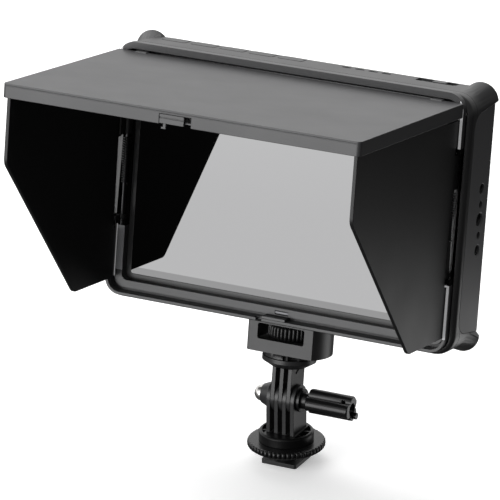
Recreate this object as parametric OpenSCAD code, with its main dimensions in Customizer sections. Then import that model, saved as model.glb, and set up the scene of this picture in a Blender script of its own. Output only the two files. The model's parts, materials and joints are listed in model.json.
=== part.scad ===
// Camera field monitor with a folding sun hood on a tilting cold shoe mount.
// The origin is the centre of the shoe foot's underside, +Z is up and the screen looks to -Y.

/* [Hood frame] */
// Width of the hood frame and of the lid
frame_w = 180; // [165:1:200]
// Height of the hood frame
frame_h = 124.6; // [115:0.1:140]
// Corner radius of the hood frame
frame_r = 8; // [6:0.5:12]
// Depth of the hood frame from its lip to its seat
frame_d = 9.2; // [8.8:0.1:12]
// Thickness of the outer lip
lip_t = 1.4; // [1.2:0.1:1.8]
// Height of the lip along the top
top_lip = 3.3; // [2.6:0.1:4]
// Width of the channel behind the lip
channel_w = 1.5; // [1.2:0.1:2]
// Depth of the channel floor behind the lip front
channel_y = 6.6; // [6:0.1:7]
// Width of the raised ridge round the screen
ridge_w = 3.8; // [3:0.1:5]
// Depth of the ridge front behind the lip front
ridge_y = 4.6; // [4.4:0.1:5.4]
// Depth of the flange that covers the monitor's top edge
flange_d = 3.6; // [3:0.1:4]

/* [Hood lid and flaps] */
// How far the shut lid stops short of the frame's foot
lid_short = 0.4; // [0.2:0.1:12]
// Thickness of the lid plate
lid_t = 1.6; // [1.2:0.1:2.2]
// Depth of the rims on the lid's front and sides
rim_h = 6.8; // [6:0.1:8]
// Thickness of the lid rims
rim_t = 1.4; // [1:0.1:1.8]
// Thickness of a side flap
flap_t = 1.8; // [1.4:0.1:2]
// Height above the frame's foot where a flap's straight front edge ends
flap_bend_z = 79; // [60:1:95]
// Reach of a flap along its lower edge
flap_foot = 31; // [20:1:50]
// Height of a flap's lower edge
flap_z0 = 7.6; // [7:0.1:12]
// Radius of the knuckles on the flap hinges
knuckle_r = 2.1; // [1.9:0.1:2.2]
// Radius of the hinge rods
rod_r = 0.85; // [0.7:0.05:1]
// Lower end of the hinge bay in the frame's sides
bay_z0 = 36; // [30:1:40]
// Upper end of the hinge bay in the frame's sides
bay_z1 = 96; // [92:1:100]
// Wire thickness of the flap springs
spring_wire = 0.7; // [0.5:0.05:0.75]
// Rise of a flap spring in each curl
spring_pitch = 1.2; // [1.15:0.05:1.4]
// Number of curls on a flap spring
spring_turns = 19; // [12:1:20]
// Width of the latch notch in the lid's front rim
latch_w = 16; // [12:0.5:22]
// Travel of the lid latch
latch_travel = 3.5; // [2:0.1:4]

/* [Monitor] */
// Width of the monitor body
body_w = 186; // [184.6:0.2:192]
// Depth of the monitor body
body_d = 27.8; // [26:0.1:34]
// Corner radius of the monitor body
body_r = 10; // [8:0.5:12]
// Wall thickness of the monitor housing
wall = 2; // [1.6:0.1:2.6]
// How far the corner bumpers stand out
bumper_out = 2.5; // [1.5:0.1:4]
// Corner radius of the bumpers
bumper_r = 9; // [7:0.5:10]
// Width of the screen glass
glass_w = 161.2; // [156:0.2:164]
// Height of the screen glass
glass_h = 105.8; // [100:0.2:108]
// Thickness of the screen glass
glass_t = 1.1; // [0.8:0.1:1.6]
// Width of the lit picture area
picture_w = 150.7; // [148:0.1:153]
// Height of the lit picture area
picture_h = 94.2; // [92:0.1:96]
// Width of a push button
button_w = 12.6; // [10:0.1:13.5]
// Depth of a push button
button_d = 7; // [5:0.1:8]
// Distance between neighbouring buttons
button_pitch = 15.5; // [15:0.1:16]
// Travel of a push button
button_travel = 0.6; // [0.3:0.05:0.8]
// Travel of the power switch
power_travel = 6; // [4:0.5:7]
// Distance between neighbouring holes in the side plate
hole_pitch = 7.4; // [7.2:0.1:9]

/* [Mount] */
// Lean of the monitor to the back
tilt = 9; // [0:1:20]
// Width of the shoe foot
foot_w = 18.6; // [18:0.1:18.8]
// Length of the shoe foot
foot_l = 18; // [16:0.1:20]
// Thickness of the shoe foot
foot_t = 2; // [1.8:0.1:2.2]
// Radius of the lock ring
ring_r = 19.1; // [16:0.1:22]
// Height of the lock ring
ring_h = 5.6; // [4.5:0.1:7]
// Gap between the shoe foot and the lock ring
shoe_gap = 3.6; // [2:0.1:3.8]
// Radius of the round base under the fingers
base_r = 13.4; // [12:0.1:15]
// Height of the round base under the fingers
base_h = 5; // [4:0.1:6]
// Height from the round base to the tilt axis
finger_h = 16.7; // [14:0.1:20]
// Half width of a finger, which is also its end radius
finger_r = 7.3; // [6.5:0.1:8]
// Thickness of a finger
finger_t = 2; // [1.6:0.05:2.1]
// Distance between neighbouring fingers of one piece
finger_pitch = 4.25; // [4.25:0.05:5]
// Radius of the clamp screw
screw_r = 2.5; // [2:0.1:3]
// Length of the fluted handle
handle_l = 22.5; // [18:0.1:40]
// Radius of the swivel flange
flange_r = 13.2; // [11:0.1:15]
// Radius of the mounting block's round sides
block_r = 20.8; // [18:0.1:24]
// Depth of the mounting block
block_d = 24; // [20:0.2:26]
// Height of the mounting block
block_h = 16.5; // [15.6:0.1:20]
// Radius of the knurled wheel in the block
wheel_r = 11.6; // [10:0.1:11.7]
// Height of the opening that shows the wheel
window_h = 7.8; // [7:0.1:9]

/* [Battery plate] */
// Width of the battery plate
plate_w = 40; // [38:0.5:44]
// Height of the battery plate
plate_h = 72; // [68:0.5:80]
// Thickness of the battery plate
plate_t = 5; // [4:0.1:7]

/* [Clearances] */
// Gap on each side of pieces that slide or turn
run_gap = 0.15; // [0.12:0.01:0.2]
// Gap on each side of pieces that are set into each other
seat_gap = 0.1; // [0.05:0.01:0.15]
// Gap round the buttons in the top face
key_gap = 0.25; // [0.15:0.01:0.35]
// Gap on each side of a flap and its folded neighbour
flap_gap = 0.3; // [0.25:0.05:0.35]

/* [Hidden] */
$fn = 64;
// Facets of each corner arc inside a hull
hull_fn = 32;
// A sliver that carries a cut through a face
eps = 0.01;
// Thickness of a slice inside a hull
slice_t = 0.2;

// Heights on the mount, from the shoe foot up
neck_r = 4.8;
neck_h = 0.9;
stud_r = 3.175;
ring_z0 = foot_t + shoe_gap;
base_z0 = ring_z0 + ring_h;
base_z1 = base_z0 + base_h;
pivot_z = base_z1 + finger_h;
stud_end = base_z0 + 2.6;
ring_ribs = 44;
ring_rib_depth = 0.7;
bolt_bore = screw_r + run_gap;
finger_out = 1.5 * finger_pitch + finger_t / 2;
nut_boss_l = 4.8;
nut_boss_r0 = 6.8;
nut_boss_r1 = 4.8;
nut_r = 4.1;
nut_flat_l = 3.6;
nut_proud = 0.5;
handle_flange_r = 5.8;
handle_flange_t = 1.6;
handle_neck_r = 4;
handle_neck_l = 5;
handle_bore_l = 11;
lobe_r = 3.4;
lobe_off = 3.2;
lobes = [27, 147, 267];

// Heights above the tilt axis, along the monitor's own upright
flange_z0 = finger_h - 0.6;
flange_cone_h = 2.8;
flange_rim_h = 2.2;
flange_top = flange_z0 + flange_cone_h + flange_rim_h;
swivel_gap = 0.2;
disc_h = 2.2;
disc_r = flange_r - 0.6;
block_z0 = flange_top + swivel_gap + disc_h;
block_z1 = block_z0 + block_h;

// The monitor's own frame: y from the lip front, z from the hood frame's foot
body_drop = 1.8;
body_top_step = 1.2;
axis_y = 24.3;
drop = block_z1 + body_drop;
body_z0 = -body_drop;
body_z1 = frame_h - body_top_step;
body_h = body_z1 - body_z0;
bezel_y0 = flange_d + 0.2;
body_y1 = bezel_y0 + body_d;
split_y = 10.6;
nest_top = body_z1 - 2.2;
mid_z = (body_z0 + body_z1) / 2;
cavity_x = body_w / 2 - 1.8 - 1.6;
cavity_z0 = body_z0 + wall;
cavity_z1 = body_z1 - wall;
cavity_y1 = body_y1 - wall - 0.2;
cavity_r = body_r - wall;
side_t = 1.7;
pocket_t = side_t + seat_gap;
pocket_y0 = bezel_y0 + 4.5;
// The pocket's rear end stands at these heights and it narrows to the front by this angle
pocket_z0 = body_z0 + 7.7;
pocket_z1 = body_z1 - 7.1;
pocket_angle = 6.8;
pocket_r = 8;

// Glass and panel
glass_z0 = 9.4;
glass_y = frame_d;
ledge_y = glass_y + glass_t + seat_gap;
skirt_y1 = ledge_y + 2;
picture_z0 = glass_z0 + 3;
panel_border = 2.5;
panel_t = 4.2;
panel_y = skirt_y1 + seat_gap;

// Ridge and opening of the hood frame
ridge_out = lip_t + channel_w;
ridge_in = ridge_out + ridge_w;
inner_top = frame_h - top_lip;
open_z1 = inner_top - channel_w - ridge_w;

// Lid
lid_z1 = inner_top - 0.9;
lid_z0 = lid_z1 - lid_t;
rim_z0 = lid_z1 - rim_h;
lid_rear = -0.3;
lid_r = 2;
// On this axis the shut lid's rims stop just before the lip
lid_axis_y = -1;
lid_axis_z = rim_z0 - 0.2 - lid_axis_y;
// The shut lid covers the frame down to its foot
lid_reach = lid_axis_z - lid_axis_y - lid_short;
lid_ear_x = 77;
lid_ear_w = 5.7;
lid_ear_r = 2;
lid_pin_r = 0.8;
lug_w = 3;
lug_gap = 0.2;
lug_in_x = lid_ear_x - lid_ear_w / 2 - lug_gap - lug_w;
latch_x = -1.5;

// Catch of the frame: a notch under the latch hook and a bridge over the channel beside it
catch_notch_w = 3;
catch_notch_x = latch_x - latch_w / 2 + 1.3;
catch_bridge_w = 12.2;
catch_bridge_y = 0.3;
catch_undercut = 1.2;
hook_w = 1.3;
hook_t = 1;
hook_barb = 0.9;
hook_drop = 2.2;

// Flaps
flap_out_x = frame_w / 2 - max(lip_t, rim_t) - flap_gap;
flap_in_x = flap_out_x - flap_t;
hinge_x = flap_in_x - 1;
fold_step = flap_t + flap_gap + 0.1;
left_axis_y = ridge_y + 0.8;
right_axis_y = left_axis_y - fold_step;
flap_front = -(lid_reach - rim_t - 0.5);
flap_top = rim_z0 + 1.8;
flap_bend_r = 6;
flap_tip_r = 5;
// The notch of a folding flap passes round the front inner corners of the lid's lugs
ear_notch_y = right_axis_y - norm([hinge_x - lug_in_x, right_axis_y - lid_axis_y + lid_ear_r]) - 0.5;
ear_notch_z = lid_axis_z - lid_ear_r - flap_gap;
knuckle_top_l = 17;
knuckle_low_l = 2.4;
spring_z0 = bay_z0 + 18;
spring_wide_r = 2.1;
spring_slim_r = 1.55;

// Top face
button_y = 25;
button_x0 = 20.8 - body_w / 2;
button_proud = 0.1;
button_flange = 0.9;
power_x = body_w / 2 - 27.7;
vent_x0 = power_x - 47;
vent_pitch = 6.9;
power_knob_w = 7;

// Battery plate
plate_z = mid_z;

// Puts children that are drawn above the tilt axis onto the leaning upright
module leaning() {
    translate([0, 0, pivot_z]) rotate([-tilt, 0, 0]) children();
}

// Puts children that are drawn in the monitor's own frame into place
module on_monitor() {
    leaning() translate([0, -axis_y, drop]) children();
}

// Rectangle with exact round corners, from its lower left corner
module rounded_rect(w, h, r) {
    translate([r, 0]) square([w - 2 * r, h]);
    translate([0, r]) square([w, h - 2 * r]);
    for (x = [r, w - r], y = [r, h - r]) translate([x, y]) circle(r);
}

// Upright plate from y0 to y1 that has a rounded rectangle's outline across x and z
module wall_plate(w, z0, z1, r, y0, y1) {
    translate([-w / 2, y1, z0]) rotate([90, 0, 0]) linear_extrude(y1 - y0)
        rounded_rect(w, z1 - z0, r);
}

// The same plate from its flat side at y0 to its other side at y1, whose edges are rounded by e
module soft_plate(w, z0, z1, r, y0, y1, e) {
    d = y1 > y0 ? 1 : -1;
    // Rings of each corner: distance from the plate's far side and how far the ring is drawn in
    rings = [for (a = [0 : 22.5 : 90]) [e * (1 - sin(a)), e * (1 - cos(a))]];
    hull() for (x = [r - w / 2, w / 2 - r], z = [z0 + r, z1 - r]) {
        translate([x, y0, z]) rotate([-90 * d, 0, 0])
            cylinder(r = r, h = abs(y1 - y0) - e, $fn = hull_fn);
        for (k = [1 : len(rings) - 1]) translate([x, y1 - d * rings[k - 1][0], z]) rotate([-90 * d, 0, 0])
            cylinder(r1 = r - rings[k - 1][1], r2 = r - rings[k][1],
                h = rings[k - 1][0] - rings[k][0], $fn = hull_fn);
    }
}

// Each row is a point of one rib's round back: its place along the pitch and its share of the depth
rib_profile = [[-0.36, 0], [-0.22, 0.75], [0, 1], [0.22, 0.75], [0.36, 0]];

// Polygon of a grip rim with n round ribs
function rib_points(n, r, depth) = [
    for (i = [0 : n - 1], k = rib_profile)
        let (a = 360 * (i + k[0]) / n, rr = r - depth * (1 - k[1])) [rr * cos(a), rr * sin(a)]
];

// Shoe foot with its neck and threaded stud
module shoe_foot() {
    corner = 1.2;
    color([0.12, 0.12, 0.13]) {
        translate([-foot_w / 2, -foot_l / 2, 0]) linear_extrude(foot_t)
            rounded_rect(foot_w, foot_l, corner);
        translate([0, 0, foot_t / 2]) cylinder(r = neck_r, h = foot_t / 2 + neck_h);
        translate([0, 0, foot_t / 2]) cylinder(r = stud_r, h = stud_end - foot_t / 2);
    }
}

// Ribbed ring that is screwed down the stud to lock the shoe
module lock_ring() {
    bevel_h = ring_h * 0.45;
    bevel_in = 6.6;
    hub_r = base_r - 2;
    color([0.1, 0.1, 0.11]) difference() {
        intersection() {
            translate([0, 0, ring_z0]) linear_extrude(ring_h - seat_gap)
                polygon(rib_points(ring_ribs, ring_r, ring_rib_depth));
            union() {
                translate([0, 0, ring_z0]) cylinder(r1 = ring_r - bevel_in, r2 = ring_r, h = bevel_h);
                translate([0, 0, ring_z0 + bevel_h]) cylinder(r = ring_r, h = ring_h - bevel_h - 0.6);
                translate([0, 0, base_z0 - 0.6]) cylinder(r1 = ring_r, r2 = ring_r - 0.6, h = 0.6);
            }
        }
        translate([0, 0, ring_z0 - 1]) cylinder(r = stud_r + run_gap, h = ring_h + 2);
        translate([0, 0, ring_z0 - 1]) cylinder(r = hub_r, h = 1.8);
    }
}

// A plate finger across the tilt axis, from height z down or up to its round end at the axis
module finger(x, z) {
    translate([x - finger_t / 2, 0, 0]) {
        rotate([0, 90, 0]) cylinder(r = finger_r, h = finger_t);
        translate([0, -finger_r, min(z, 0)]) cube([finger_t, 2 * finger_r, abs(z)]);
    }
}

// Round base with four fingers, the nut boss and the stud's bore
module lower_fingers() {
    chamfer = 0.8;
    rim_w = 1.6;
    well_depth = 2.6;
    rib_t = 1;
    ribs = [-52, -20, 20, 52];
    color([0.16, 0.16, 0.17]) difference() {
        union() {
            translate([0, 0, base_z0]) cylinder(r = base_r, h = base_h - chamfer);
            translate([0, 0, base_z1 - chamfer])
                cylinder(r1 = base_r, r2 = base_r - chamfer, h = chamfer);
            translate([0, 0, pivot_z]) {
                for (i = [-1.5, -0.5, 0.5, 1.5]) finger(i * finger_pitch, -finger_h - chamfer);
                translate([-finger_out + eps, 0, 0]) rotate([0, -90, 0])
                    cylinder(r1 = nut_boss_r0, r2 = nut_boss_r1, h = nut_boss_l);
            }
        }
        translate([0, 0, base_z0 - 1]) cylinder(r = stud_r + seat_gap, h = stud_end - base_z0 + 1.3);
        translate([-finger_out - nut_boss_l - 1, 0, pivot_z]) rotate([0, 90, 0])
            cylinder(r = bolt_bore, h = 2 * finger_out + nut_boss_l + 2);
        // Seat of the clamp nut
        translate([-finger_out - nut_boss_l - 1, 0, pivot_z]) rotate([0, 90, 0])
            cylinder(r = nut_r + seat_gap, h = nut_flat_l + 1);
        // Ribbed wells in the top of the base, on both sides of the fingers
        for (s = [0, 180]) rotate([0, 0, s]) translate([0, 0, base_z1 - well_depth]) difference() {
            intersection() {
                cylinder(r = base_r - rim_w, h = well_depth + 1);
                translate([finger_out + 0.6, -base_r, 0]) cube([base_r, 2 * base_r, well_depth + 1]);
            }
            for (a = ribs) rotate([0, 0, a]) translate([0, -rib_t / 2, -1])
                cube([base_r, rib_t, well_depth + 0.2]);
        }
    }
}

// Polished nut with a domed end, held in the boss
module clamp_nut() {
    dome_r = nut_r;
    x0 = -finger_out - nut_boss_l - nut_proud;
    color([0.8, 0.8, 0.82]) translate([x0, 0, pivot_z]) difference() {
        union() {
            rotate([0, 90, 0]) cylinder(r = nut_r, h = nut_flat_l + nut_proud);
            intersection() {
                sphere(dome_r);
                translate([-dome_r, -dome_r, -dome_r]) cube([dome_r + eps, 2 * dome_r, 2 * dome_r]);
            }
        }
        translate([-1, 0, 0]) rotate([0, 90, 0]) cylinder(r = screw_r + seat_gap, h = nut_flat_l + 2);
    }
}

// Clamp screw through all the fingers
module clamp_screw() {
    x0 = -finger_out - nut_boss_l - 0.8;
    color([0.6, 0.6, 0.62]) translate([x0, 0, pivot_z]) rotate([0, 90, 0])
        cylinder(r = screw_r, h = -x0 + finger_out + run_gap + handle_bore_l - 0.2);
}

// Long fluted handle of the clamp screw, with its flange, neck and three lobes
module clamp_handle() {
    hole_r = 3.2;
    hole_depth = 5;
    edge = 0.7;
    nub_r = 1.6;
    nub_l = 1.6;
    cord_hole_r = 1.4;
    cord_hole_x = 4.2;
    x0 = finger_out + run_gap;
    end = handle_neck_l + handle_l;
    color([0.11, 0.11, 0.12]) translate([x0, 0, pivot_z]) rotate([0, 90, 0]) difference() {
        union() {
            cylinder(r = handle_flange_r, h = handle_flange_t);
            cylinder(r = handle_neck_r, h = handle_neck_l + eps);
            intersection() {
                translate([0, 0, handle_neck_l]) linear_extrude(handle_l) {
                    circle(lobe_off);
                    for (a = lobes) rotate(a) translate([lobe_off, 0]) circle(lobe_r);
                }
                // The lobes' ends are chamfered
                union() {
                    translate([0, 0, handle_neck_l])
                        cylinder(r1 = lobe_off + lobe_r - edge, r2 = lobe_off + lobe_r, h = edge);
                    translate([0, 0, handle_neck_l + edge])
                        cylinder(r = lobe_off + lobe_r + 1, h = handle_l - 2 * edge);
                    translate([0, 0, end - edge])
                        cylinder(r1 = lobe_off + lobe_r, r2 = lobe_off + lobe_r - edge, h = edge);
                }
            }
            rotate([0, 0, lobes[0]]) translate([lobe_off + lobe_r - nub_r - edge, 0, end - 2])
                cylinder(r = nub_r, h = nub_l + 2);
        }
        translate([0, 0, -1]) cylinder(r = screw_r + seat_gap, h = handle_bore_l + 1);
        translate([0, 0, end - hole_depth]) cylinder(r = hole_r, h = hole_depth + nub_l + 1);
        // Small hole through the flute between two lobes
        rotate([0, 0, (lobes[1] + lobes[2]) / 2]) translate([0, 0, end - cord_hole_x]) rotate([0, 90, 0])
            cylinder(r = cord_hole_r, h = lobe_off + lobe_r);
    }
}

// Swivel flange with three fingers
module upper_fingers() {
    mark_w = 10;
    mark_h = 3.2;
    mark_t = 0.5;
    mark_y = -2;
    neck_top = finger_r + 1.4;
    color([0.2, 0.2, 0.21]) leaning() difference() {
        union() {
            translate([0, 0, flange_z0]) cylinder(r1 = neck_top, r2 = flange_r, h = flange_cone_h);
            translate([0, 0, flange_z0 + flange_cone_h]) cylinder(r = flange_r, h = flange_rim_h);
            for (i = [-1, 0, 1]) finger(i * finger_pitch, flange_z0 + 0.5);
        }
        translate([-finger_out, 0, 0]) rotate([0, 90, 0]) cylinder(r = bolt_bore, h = 2 * finger_out);
        translate([0, 0, flange_z0 - 2]) cylinder(r = swivel_bore, h = flange_top);
        // Triangular marks on the outer cheeks, under the flange
        for (s = [-1, 1]) translate([s * (finger_pitch + finger_t / 2), 0, flange_z0])
            rotate([90, 0, 90]) linear_extrude(2 * mark_t, center = true)
                polygon([[mark_y - mark_w / 2, 0], [mark_y + mark_w / 2, 0], [mark_y, -mark_h]]);
    }
}

// Screw that holds the block on the flange and lets it turn
swivel_r = 2.4;
swivel_bore = swivel_r + run_gap;
swivel_head_r = 4.6;
swivel_head_h = 1.6;
floor_h = block_h - window_h - 2.4;
module swivel_screw() {
    x0 = flange_z0 + 1;
    color([0.5, 0.5, 0.52]) leaning() {
        translate([0, 0, x0]) cylinder(r = swivel_r, h = block_z0 + floor_h - swivel_head_h - x0);
        translate([0, 0, block_z0 + floor_h - swivel_head_h - 0.6])
            cylinder(r = swivel_head_r, h = swivel_head_h);
    }
}

// Mounting block: a thick disc with two flats, and the slot that shows the wheel
module mount_block() {
    window_r = 1;
    notch_w = 1.4;
    recess_w = 4.8;
    notch_depth = 2;
    // Angles of the first notch and recess in the rim of the disc, which repeat four times
    notch_a = -77;
    recess_a = -57;
    slot_w = 2 * wheel_r + 1.4;
    color([0.3, 0.3, 0.31]) leaning() difference() {
        union() {
            intersection() {
                translate([0, 0, block_z0]) cylinder(r = block_r, h = block_h, $fn = 128);
                translate([-block_r - 1, -block_d / 2, block_z0 - 1])
                    cube([2 * block_r + 2, block_d, block_h + 2]);
            }
            translate([0, 0, block_z0 - disc_h]) cylinder(r = disc_r, h = disc_h + eps);
        }
        // Slot for the wheel, open in front and behind
        translate([-slot_w / 2, block_d, block_z0 + floor_h]) rotate([90, 0, 0])
            linear_extrude(2 * block_d) rounded_rect(slot_w, window_h, window_r);
        translate([0, 0, block_z0 + floor_h]) cylinder(r = wheel_screw_r + 0.25, h = block_h);
        // Seat and bore of the swivel screw
        translate([0, 0, block_z0 - disc_h - 1]) cylinder(r = swivel_bore, h = block_h);
        translate([0, 0, block_z0 + floor_h - swivel_head_h - 0.8])
            cylinder(r = swivel_head_r + 0.25, h = swivel_head_h + 1);
        for (i = [0 : 3], k = [[notch_a, notch_w], [recess_a, recess_w]]) rotate([0, 0, k[0] + 90 * i])
            translate([disc_r - notch_depth, -k[1] / 2, block_z0 - disc_h - 1])
                cube([notch_depth + 1, k[1], disc_h + 1 - eps]);
    }
}

// Ribbed wheel with the screw that enters the monitor
wheel_screw_r = 3.1;
wheel_screw_l = 6;
module block_wheel() {
    ribs = 26;
    rib_depth = 1;
    edge = 0.8;
    wheel_gap = 0.3;
    z0 = block_z0 + floor_h + wheel_gap;
    h = window_h - 2 * wheel_gap;
    color([0.35, 0.35, 0.36]) leaning() {
        intersection() {
            translate([0, 0, z0]) linear_extrude(h) polygon(rib_points(ribs, wheel_r, rib_depth));
            union() {
                translate([0, 0, z0]) cylinder(r1 = wheel_r - edge, r2 = wheel_r, h = edge);
                translate([0, 0, z0 + edge]) cylinder(r = wheel_r + 1, h = h - 2 * edge);
                translate([0, 0, z0 + h - edge]) cylinder(r1 = wheel_r, r2 = wheel_r - edge, h = edge);
            }
        }
        translate([0, 0, z0]) cylinder(r = wheel_screw_r, h = block_z1 - z0 + wheel_screw_l);
    }
}

// Threaded insert in the monitor's underside
insert_r = 4.9;
insert_l = 8.6;
module bottom_insert() {
    color([0.7, 0.6, 0.35]) on_monitor() translate([0, axis_y, body_z0]) difference() {
        cylinder(r = insert_r, h = insert_l);
        translate([0, 0, -1]) cylinder(r = stud_r, h = insert_l - 1);
    }
}

// One corner bumper: a corner that grows outwards to the rear. s is its side, top says which end
module bumper(s, top) {
    start = split_y + 1.2;
    // Each row is a slice: its place along y, how far it has grown and how far it is drawn in
    slices = [[start, 0, 3.5], [body_y1 - 2.6, 1, 0], [body_y1 - 0.6, 1, 0.9]];
    z = top ? body_z1 : body_z0;
    d = top ? -1 : 1;
    hull() for (p = slices) {
        r = body_r + p[1] * (bumper_r - body_r);
        out = p[1] * bumper_out - r;
        translate([s * (body_w / 2 + out), p[0], z - d * out]) rotate([90, 0, 0])
            cylinder(r = r - p[2], h = slice_t, $fn = hull_fn);
    }
}

// Side pockets that the side plates fill, cut from the bezel and the housing alike
module side_pockets(gap) {
    for (s = [-1, 1]) translate([s * (body_w / 2 - pocket_t + gap), 0, 0])
        side_outline(s * (pocket_t + bumper_out + 2), gap);
}

// Bevels along the ends of the side pockets, where the bumpers stand over them
module pocket_bevels() {
    w = bumper_out + 2;
    t = 0.4;
    for (s = [0, 1], end = [[pocket_z0, -1], [pocket_z1, 1]]) mirror([s, 0, 0])
        translate([body_w / 2, body_y1, end[0]]) rotate([end[1] * pocket_angle, 0, 0])
            translate([0, 2, 0]) rotate([90, 0, 0]) linear_extrude(body_d - pocket_r)
                polygon([[-t, -end[1] * t], [w, end[1] * w], [w, -end[1] * 2], [-t, -end[1] * 2]]);
}

// A side plate's outline, which widens to the rear, drawn out by t along x
module side_outline(t, gap) {
    a = pocket_angle;
    r = pocket_r - gap;
    y1 = gap > 0 ? body_y1 - 0.3 : body_y1 + 2;
    cy = pocket_y0 + pocket_r;
    // Heights of the two front corners' centres
    rise = (body_y1 - cy) * tan(a) + pocket_r / cos(a);
    cz = [pocket_z0 + rise, pocket_z1 - rise];
    // Where the sloping edges leave the corners and where they end
    ty = cy - r * sin(a);
    tz = [cz[0] - r * cos(a), cz[1] + r * cos(a)];
    fall = (y1 - ty) * tan(a);
    translate([min(t, 0), 0, 0]) rotate([90, 0, 90]) linear_extrude(abs(t)) {
        polygon([[cy - r, cz[0]], [ty, tz[0]], [y1, tz[0] - fall], [y1, tz[1] + fall], [ty, tz[1]],
            [cy - r, cz[1]]]);
        for (z = cz) translate([cy, z]) circle(r);
    }
}

// Rear shell of the monitor with its raised corners
boss_y0 = panel_y + panel_t + 0.4;
boss_y1 = boss_y0 + 11.9;
boss_z0 = mid_z - 22;
boss_z1 = mid_z + 24;
boss_l = 8;
module rear_housing() {
    rear_round = 3;
    grille_w = 34;
    grille_pitch = 5;
    grille_rows = 7;
    color([0.13, 0.13, 0.14]) on_monitor() difference() {
        union() {
            soft_plate(body_w, body_z0, body_z1, body_r, split_y, body_y1, rear_round);
            for (s = [-1, 1], top = [true, false]) bumper(s, top);
        }
        wall_plate(2 * cavity_x, cavity_z0, cavity_z1, cavity_r, split_y - 1, cavity_y1);
        side_pockets(0);
        pocket_bevels();
        // Opening for the threaded boss of the right side plate
        translate([cavity_x - 1, boss_y0 - seat_gap, boss_z0 - seat_gap])
            cube([body_w, boss_y1 - boss_y0 + 2 * seat_gap, boss_z1 - boss_z0 + 2 * seat_gap]);
        // Openings for the sockets on the left
        socket_cuts(seat_gap);
        // Button, power switch and vent openings in the top wall
        for (i = [0 : 4]) translate([button_x(i) - button_w / 2 - key_gap,
                button_y - button_d / 2 - key_gap, cavity_z1 - 1])
            linear_extrude(wall + 2) rounded_rect(button_w + 2 * key_gap, button_d + 2 * key_gap, 1.4);
        power_cuts();
        for (i = [0 : 3]) translate([vent_x0 + i * vent_pitch, button_y, cavity_z1 - 1])
            linear_extrude(wall + 2) vent_slot();
        translate([0, axis_y, body_z0 - 1]) cylinder(r = insert_r + seat_gap, h = wall + 3);
        // Rows of vents in the back, left and right of the battery plate
        for (s = [-1, 1], i = [0 : grille_rows - 1])
            translate([s * 58 - grille_w / 2, cavity_y1 - 1, mid_z + 14 + i * grille_pitch])
                cube([grille_w, wall + 4, 1.8]);
        // Seats of the housing screws
        for (p = screw_places) translate([p[0], body_y1 - 1.4, p[1]]) rotate([-90, 0, 0])
            cylinder(r = 2.9, h = 3);
    }
}

// Middle of button i along x
function button_x(i) = button_x0 + i * button_pitch;

// Outline of one vent slot
module vent_slot() {
    w = 4.6;
    d = 2.2;
    translate([-w / 2, -d / 2]) rounded_rect(w, d, 0.9);
}

// Recess and slot of the power switch
power_recess_w = 20.7;
power_recess_d = 6.4;
power_recess_t = 1.2;
power_stem_w = 4;
power_rest_x = power_x + 1.6;
module power_cuts() {
    translate([power_x - power_recess_w / 2, button_y - power_recess_d / 2, body_z1 - power_recess_t])
        linear_extrude(3) rounded_rect(power_recess_w, power_recess_d, 1.6);
    translate([power_rest_x - power_travel - power_stem_w / 2 - run_gap, button_y - 1.65, cavity_z1 - 1])
        cube([power_travel + power_stem_w + 2 * run_gap, 3.3, wall + 2]);
}

// Places of the housing screws on the back
screw_places = [for (x = [-1, 1], z = [pocket_z0 + 4, pocket_z1 - 4]) [x * (cavity_x - 7), z]];
module housing_screws() {
    color([0.3, 0.3, 0.31]) on_monitor() for (p = screw_places)
        translate([p[0], body_y1 - 1.4, p[1]]) rotate([-90, 0, 0]) difference() {
            cylinder(r = 2.7, h = 1.1);
            translate([0, 0, 0.5]) cylinder(r = 1.3, h = 2, $fn = 6);
        }
}

// Front shell round the glass, with the pocket that takes the hood frame
module front_bezel() {
    front_round = 2.4;
    fit = run_gap;
    window = 1.2;
    color([0.1, 0.1, 0.11]) on_monitor() difference() {
        union() {
            soft_plate(body_w, body_z0, body_z1, body_r, split_y, bezel_y0, front_round);
            wall_plate(2 * (cavity_x - seat_gap), cavity_z0 + seat_gap, cavity_z1 - seat_gap,
                cavity_r - seat_gap, split_y - 1, skirt_y1);
        }
        wall_plate(frame_w + 2 * fit, -fit, nest_top + fit, frame_r, bezel_y0 - 1, frame_d);
        wall_plate(glass_w + 2 * seat_gap, glass_z0 - seat_gap, glass_z0 + glass_h + seat_gap, 1.2,
            glass_y - 1, ledge_y);
        translate([-picture_w / 2 - window, ledge_y - 1, picture_z0 - window])
            cube([picture_w + 2 * window, 10, picture_h + 2 * window]);
        side_pockets(0);
        // Room for the boards, the insert and the buttons behind the bezel
        translate([0, axis_y, body_z0 - 1]) cylinder(r = insert_r + seat_gap, h = insert_l + 1);
    }
}

// Cover glass of the screen
module screen_glass() {
    color([0.72, 0.73, 0.74]) on_monitor()
        wall_plate(glass_w, glass_z0, glass_z0 + glass_h, 1.1, glass_y, glass_y + glass_t);
}

// Display panel with its metal back
module lcd_panel() {
    b = panel_border;
    color([0.55, 0.56, 0.58]) on_monitor()
        translate([-picture_w / 2 - b, panel_y, picture_z0 - b])
            cube([picture_w + 2 * b, panel_t, picture_h + 2 * b]);
}

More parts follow.
